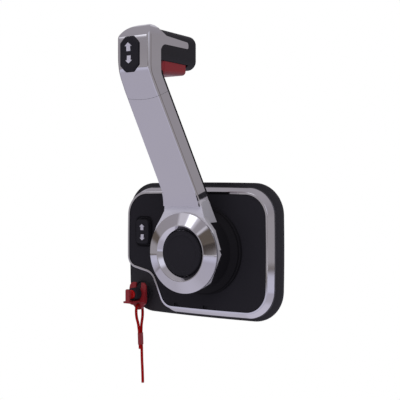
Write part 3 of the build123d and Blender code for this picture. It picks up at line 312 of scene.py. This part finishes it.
def crown(mat, stops):
    """Crown a flat front face: lean its normal up or down by height, as (height in mm, lean) stops."""
    tree = mat.node_tree
    shader = tree.nodes["Principled BSDF"]
    where = tree.nodes.new("ShaderNodeTexCoord")
    place = tree.nodes.new("ShaderNodeSeparateXYZ")
    tree.links.new(where.outputs["Object"], place.inputs["Vector"])
    low, high = stops[0][0] / 1000, stops[-1][0] / 1000
    span = tree.nodes.new("ShaderNodeMapRange")
    span.inputs["From Min"].default_value, span.inputs["From Max"].default_value = low, high
    tree.links.new(place.outputs["Z"], span.inputs["Value"])
    curve = tree.nodes.new("ShaderNodeValToRGB")
    tree.links.new(span.outputs["Result"], curve.inputs["Fac"])
    ramp = curve.color_ramp
    while len(ramp.elements) < len(stops):
        ramp.elements.new(0.5)
    for element, (height, lean) in zip(ramp.elements, stops):
        element.position = (height / 1000 - low) / (high - low)
        grey = lean + MID_GREY
        element.color = (grey, grey, grey, 1)
    centred = tree.nodes.new("ShaderNodeMath")
    centred.operation = "SUBTRACT"
    centred.inputs[1].default_value = MID_GREY
    tree.links.new(curve.outputs["Color"], centred.inputs[0])
    surface = tree.nodes.new("ShaderNodeNewGeometry")
    facing = tree.nodes.new("ShaderNodeSeparateXYZ")
    tree.links.new(surface.outputs["Normal"], facing.inputs["Vector"])
    front = tree.nodes.new("ShaderNodeMapRange")
    front.inputs["From Min"].default_value = FACING_ASIDE
    front.inputs["From Max"].default_value = FACING_FORWARD
    tree.links.new(facing.outputs["Y"], front.inputs["Value"])
    amount = tree.nodes.new("ShaderNodeMath")
    amount.operation = "MULTIPLY"
    tree.links.new(centred.outputs["Value"], amount.inputs[0])
    tree.links.new(front.outputs["Result"], amount.inputs[1])
    push = tree.nodes.new("ShaderNodeCombineXYZ")
    tree.links.new(amount.outputs["Value"], push.inputs["Z"])
    total = tree.nodes.new("ShaderNodeVectorMath")
    total.operation = "ADD"
    tree.links.new(surface.outputs["Normal"], total.inputs[0])
    tree.links.new(push.outputs["Vector"], total.inputs[1])
    unit = tree.nodes.new("ShaderNodeVectorMath")
    unit.operation = "NORMALIZE"
    tree.links.new(total.outputs["Vector"], unit.inputs[0])
    tree.links.new(unit.outputs["Vector"], shader.inputs["Normal"])


print("crown ready")

# %% Lean of arm and head
head_chrome = finish("head chrome", **CHROME)
ARM_LEAN = ((37.0, -0.060), (38.5, -0.080), (40.5, -0.105), (44.0, -0.12), (50.0, -0.06), (57.0, 0.0))
HEAD_LEAN = ((128, 0.0), (140, 0.03), (150, 0.06), (156, 0.02), (160, -0.04), (165, -0.11),
             (169, -0.10), (171, -0.08), (173, -0.06), (177, -0.02), (190, 0.07), (206, 0.22))
crown(arm_chrome, ARM_LEAN)
crown(head_chrome, HEAD_LEAN)
print("stops for the arm", len(ARM_LEAN), "and for the head", len(HEAD_LEAN))

# %% [markdown]
# ## Braided cord
# Seen close, the lanyard is a sleeve of crossing strands.  Two wave textures that run round the cord
# in opposite directions cross into a diamond weave.  Their product drives the bump, and the colour from
# red on the crests to a deeper red in the valleys, which is painted shade between the strands.

# %% Braided cord
WAVE_SCALE = 520.0 / 3
WAVE_WOBBLE = 0.6
BRAID_RELIEF, BRAID_DEPTH = 0.1, 0.0001
BRAID_ROUGHNESS, BRAID_SPECULAR = 0.7, 0.12


def braid(name, crest, valley_shade):
    mat = bpy.data.materials.new(name)
    mat.use_nodes = True
    tree = mat.node_tree
    shader = tree.nodes["Principled BSDF"]
    where = tree.nodes.new("ShaderNodeTexCoord")
    product = tree.nodes.new("ShaderNodeMath")
    product.operation = "MULTIPLY"
    for index, lean in enumerate((1.0, -1.0)):
        mapping = tree.nodes.new("ShaderNodeMapping")
        mapping.inputs["Scale"].default_value = (lean, lean, 1.0)
        wave = tree.nodes.new("ShaderNodeTexWave")
        wave.bands_direction = "DIAGONAL"
        wave.inputs["Scale"].default_value = WAVE_SCALE
        wave.inputs["Distortion"].default_value = WAVE_WOBBLE
        tree.links.new(where.outputs["Object"], mapping.inputs["Vector"])
        tree.links.new(mapping.outputs["Vector"], wave.inputs["Vector"])
        tree.links.new(wave.outputs["Fac"], product.inputs[index])
    # The deeper valley red is painted shade: the weave's hollows are darkened in the colour as well as
    # bumped.
    mix = tree.nodes.new("ShaderNodeMix")
    mix.data_type = "RGBA"
    mix.inputs["A"].default_value, mix.inputs["B"].default_value = valley_shade, crest
    relief = tree.nodes.new("ShaderNodeBump")
    relief.inputs["Strength"].default_value = BRAID_RELIEF
    relief.inputs["Distance"].default_value = BRAID_DEPTH
    tree.links.new(product.outputs["Value"], mix.inputs["Factor"])
    tree.links.new(mix.outputs["Result"], shader.inputs["Base Color"])
    tree.links.new(product.outputs["Value"], relief.inputs["Height"])
    tree.links.new(relief.outputs["Normal"], shader.inputs["Normal"])
    shader.inputs["Roughness"].default_value = BRAID_ROUGHNESS
    shader.inputs["Specular IOR Level"].default_value = BRAID_SPECULAR
    return mat


# Crest red, and a deeper valley red that is painted shade in the weave.
finishes["red_cord"] = braid("braided cord", screen(176, 2, 4), screen(160, 0, 2))
ink = finish("arrow ink", screen(218, 216, 226), screen(208, 206, 216), rough=(0.4, 0.5), grain=900,
             bump=0.05)
print("finishes", len(finishes) + 1)

# %% [markdown]
# ## Lanyard
# The cord that pulls the kill switch's clip off is a thin braided line.  It could be a mesh tube, but
# a curve with a round bevel is lighter and stays easy to edit: the points are the route, up through
# the crimp, round the clip's eye and back down.  An order of 3 makes one smooth line of them.

# %% Lanyard
CORD_DIAMETER = 0.0028
CRIMP_DEPTH, HALF_PITCH = 13.6, 1.45
FRONT_STRAND, BACK_STRAND = -CRIMP_DEPTH - HALF_PITCH, -CRIMP_DEPTH + HALF_PITCH
route = [
    (-75.5, FRONT_STRAND, -103.0), (-76.5, FRONT_STRAND, -80.5), (-77.9, -18.4, -70.0),
    (-77.6, -18.6, -58.0), (-77.6, -8.6, -58.0), (-76.6, -8.8, -70.0),
    (-76.5, BACK_STRAND, -80.5), (-75.5, BACK_STRAND, -103.0),
    (-75.0, -12.6, -114.5), (-74.0, -12.9, -126.0), (-73.4, -13.3, -137.6),
]

curve = bpy.data.curves.new("lanyard", "CURVE")
curve.dimensions = "3D"
curve.bevel_depth = CORD_DIAMETER / 2
curve.bevel_resolution = 5
curve.resolution_u = 10
curve.use_fill_caps = True
curve.materials.append(finishes["red_cord"])
line = curve.splines.new("NURBS")
line.points.add(len(route) - 1)
for point, place in zip(line.points, route):
    point.co = (*mm(*place), 1.0)
line.order_u = 3
line.use_endpoint_u = True
lanyard = link_object("lanyard", curve)
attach(lanyard, "kill_clip")
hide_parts("lanyard_cord")

# %% [markdown]
# ## Hand out the finishes
# The record says which finish slot every piece takes.  One loop dresses them all, so a piece can't be
# forgotten.  A few pieces then get their own: the lever's two castings, its matt black back with the
# collar under it, darker than the black plastic as painted shade, and the brighter red disc on the kill
# switch.

# %% Hand out the finishes
def wear(thing, material):
    thing.data.materials.clear()
    thing.data.materials.append(material)


for part in frame["record"]["subparts"]:
    wear(nodes[part["node"]], finishes[part["material_slot"]])
for arrow in arrows:
    wear(arrow, ink)
wear(nodes["lever_shell"], arm_chrome)
wear(nodes["head_cap"], head_chrome)
# The back and collar are matt black with little sheen, and their colour is darker than the black
# plastic as painted shade.
skirt_black_painted_shade = finish("skirt black painted shade", screen(24, 23, 26), screen(29, 28, 31), rough=(0.6, 0.7),
                     grain=1100, bump=0.1, specular=0.08)
for name in ("lever_cover", "hub_collar"):
    wear(nodes[name], skirt_black_painted_shade)
disc_red = finish("disc red", screen(186, 6, 8), screen(170, 2, 4), rough=(0.3, 0.4), grain=400,
                  bump=0.05)
wear(nodes["kill_cap"], disc_red)

# %% [markdown]
# ## Surroundings
# Chrome has no colour of its own: it shows the room.  So the world is drawn as a simple studio, by the
# direction a ray goes.  Height sets the base: a lilac floor, darker in its middle than straight below
# or near the wall, a thin dark line at the skirting just below eye level, then a grey wall and
# ceiling.  `studio_card` then lays soft-edged bright or dark cards on it, each by its bearing, rise and
# size in degrees.
# The camera itself sees plain white.

# %% Studio by height
world = bpy.data.worlds.new("studio")
bpy.context.scene.world = world
world.use_nodes = True
sky = world.node_tree
sky.nodes.clear()
direction = sky.nodes.new("ShaderNodeTexCoord").outputs["Generated"]
split = sky.nodes.new("ShaderNodeSeparateXYZ")
height = sky.nodes.new("ShaderNodeMapRange")
height.inputs["From Min"].default_value, height.inputs["From Max"].default_value = -1.0, 1.0
sky.links.new(direction, split.inputs["Vector"])
sky.links.new(split.outputs["Z"], height.inputs["Value"])
ramp = sky.nodes.new("ShaderNodeValToRGB")
sky.links.new(height.outputs["Result"], ramp.inputs["Fac"])
bands = (
    (0.0, (0.62, 0.60, 0.70, 1)), (0.11, (0.58, 0.56, 0.66, 1)), (0.18, (0.46, 0.44, 0.51, 1)),
    (0.36, (0.45, 0.43, 0.51, 1)), (0.405, (0.58, 0.57, 0.70, 1)),
    (0.436, (0.56, 0.55, 0.66, 1)), (0.439, (0.14, 0.12, 0.11, 1)),
    (0.444, (0.16, 0.14, 0.13, 1)), (0.448, (0.36, 0.34, 0.36, 1)), (0.60, (0.32, 0.30, 0.32, 1)),
    (0.75, (0.33, 0.31, 0.34, 1)), (1.0, (0.38, 0.36, 0.39, 1)),
)
ramp.color_ramp.elements[0].position, ramp.color_ramp.elements[0].color = bands[0]
ramp.color_ramp.elements[1].position, ramp.color_ramp.elements[1].color = bands[-1]
for position, colour in bands[1:-1]:
    ramp.color_ramp.elements.new(position).color = colour
studio = ramp.outputs["Color"]
print("bands in the studio", len(bands))

# %% Studio cards
def dot_with(vector):
    node = sky.nodes.new("ShaderNodeVectorMath")
    node.operation = "DOT_PRODUCT"
    node.inputs[1].default_value = vector
    sky.links.new(direction, node.inputs[0])
    return node.outputs["Value"]


def inside(distance, half, soft):
    """1 where a signed distance is within half of 0, falling to 0 over a soft edge."""
    size = sky.nodes.new("ShaderNodeMath")
    size.operation = "ABSOLUTE"
    sky.links.new(distance, size.inputs[0])
    edge = sky.nodes.new("ShaderNodeMapRange")
    edge.interpolation_type = "SMOOTHSTEP"
    edge.inputs["From Min"].default_value = half - soft
    edge.inputs["From Max"].default_value = half + soft
    edge.inputs["To Min"].default_value, edge.inputs["To Max"].default_value = 1.0, 0.0
    sky.links.new(size.outputs["Value"], edge.inputs["Value"])
    return edge.outputs["Result"]


def times(first, second):
    node = sky.nodes.new("ShaderNodeMath")
    node.operation = "MULTIPLY"
    sky.links.new(first, node.inputs[0])
    sky.links.new(second, node.inputs[1])
    return node.outputs["Value"]


def studio_card(base, bearing, rise, half_width, half_height, colour, soft):
    """Lay a card over the studio: bearing from -Y towards -X, rise, size and soft edge in degrees."""
    a, e = math.radians(bearing), math.radians(rise)
    middle = Vector((-math.sin(a) * math.cos(e), -math.cos(a) * math.cos(e), math.sin(e)))
    across = Vector((-math.cos(a), math.sin(a), 0))
    upward = across.cross(middle)
    ahead = sky.nodes.new("ShaderNodeMath")
    ahead.operation = "GREATER_THAN"
    ahead.inputs[1].default_value = 0.0
    sky.links.new(dot_with(middle), ahead.inputs[0])
    blur = math.radians(soft)
    cover = times(inside(dot_with(across), math.sin(math.radians(half_width)), blur),
                  inside(dot_with(upward), math.sin(math.radians(half_height)), blur))
    cover = times(cover, ahead.outputs["Value"])
    mix = sky.nodes.new("ShaderNodeMix")
    mix.data_type = "RGBA"
    sky.links.new(cover, mix.inputs["Factor"])
    sky.links.new(base, mix.inputs["A"])
    mix.inputs["B"].default_value = colour
    return mix.outputs["Result"]


WINDOW, BRIGHT, SOFT = (1.5, 1.5, 1.6, 1), (0.9, 0.9, 0.95, 1), (0.78, 0.78, 0.9, 1)
PALE, BROWN, DARK = (0.62, 0.6, 0.66, 1), (0.12, 0.1, 0.085, 1), (0.06, 0.05, 0.045, 1)
cards = [
    (30, 36, 15, 9, PALE, 2.5), (24, 37, 6, 7, WINDOW, 1.5), (42, 27, 5, 5, WINDOW, 1.5),
    (-9, 11, 6, 15, BROWN, 1.0), (-12, 3, 3, 7, DARK, 1.0), (0, 22, 1.5, 7, PALE, 0.8),
    (-20, 15, 3, 12, BRIGHT, 1.5), (-9, -5.6, 7, 0.9, BRIGHT, 0.6),
    (80, -3, 2, 16, BROWN, 0.8), (73, -3, 1.5, 16, BROWN, 0.8), (88, -3, 2, 14, DARK, 0.8),
    (-62, 28, 22, 14, SOFT, 8.0), (150, 30, 20, 8, PALE, 4.0), (-130, 20, 10, 14, BROWN, 3.0),
]
for card in cards:
    studio = studio_card(studio, *card)
print("studio cards", len(cards))

# %% Join the studio to the world
output = sky.nodes.new("ShaderNodeOutputWorld")
backdrop = sky.nodes.new("ShaderNodeBackground")
backdrop.inputs["Color"].default_value = (1, 1, 1, 1)
around = sky.nodes.new("ShaderNodeBackground")
sky.links.new(studio, around.inputs["Color"])
rays = sky.nodes.new("ShaderNodeLightPath")
choose = sky.nodes.new("ShaderNodeMixShader")
sky.links.new(rays.outputs["Is Camera Ray"], choose.inputs["Fac"])
sky.links.new(around.outputs["Background"], choose.inputs[1])
sky.links.new(backdrop.outputs["Background"], choose.inputs[2])
sky.links.new(choose.outputs["Shader"], output.inputs["Surface"])
print("nodes in the studio", len(sky.nodes))

# %% [markdown]
# ## Lamp
# One large soft lamp above and to the right gives the plastics their shape and the fascia a shadow
# behind the hub.  Its own square reflection would look like a hole in the chrome, so it is hidden from
# glossy rays, and the studio's cards make the highlights instead.

# %% Lamp
LAMP_AT, LAMP_TOWARDS = Vector((0.9, -1.2, 1.6)), Vector((0, 0, 0.05))
LAMP_SIDE, LAMP_WATTS = 1.4, 15

lamp = bpy.data.lights.new("key", "AREA")
lamp.shape, lamp.size, lamp.size_y, lamp.energy = "RECTANGLE", LAMP_SIDE, LAMP_SIDE, LAMP_WATTS
key = link_object("key", lamp)
key.visible_glossy = False
key.location = LAMP_AT
key.rotation_mode = "QUATERNION"
key.rotation_quaternion = (LAMP_TOWARDS - LAMP_AT).to_track_quat("-Z", "Y")
print("lamp watts", key.data.energy)

# %% [markdown]
# ## Finish
# The dressed model has to keep the real size.  At the end the view layer is brought up to date.

# %% Finish
bpy.context.view_layer.update()
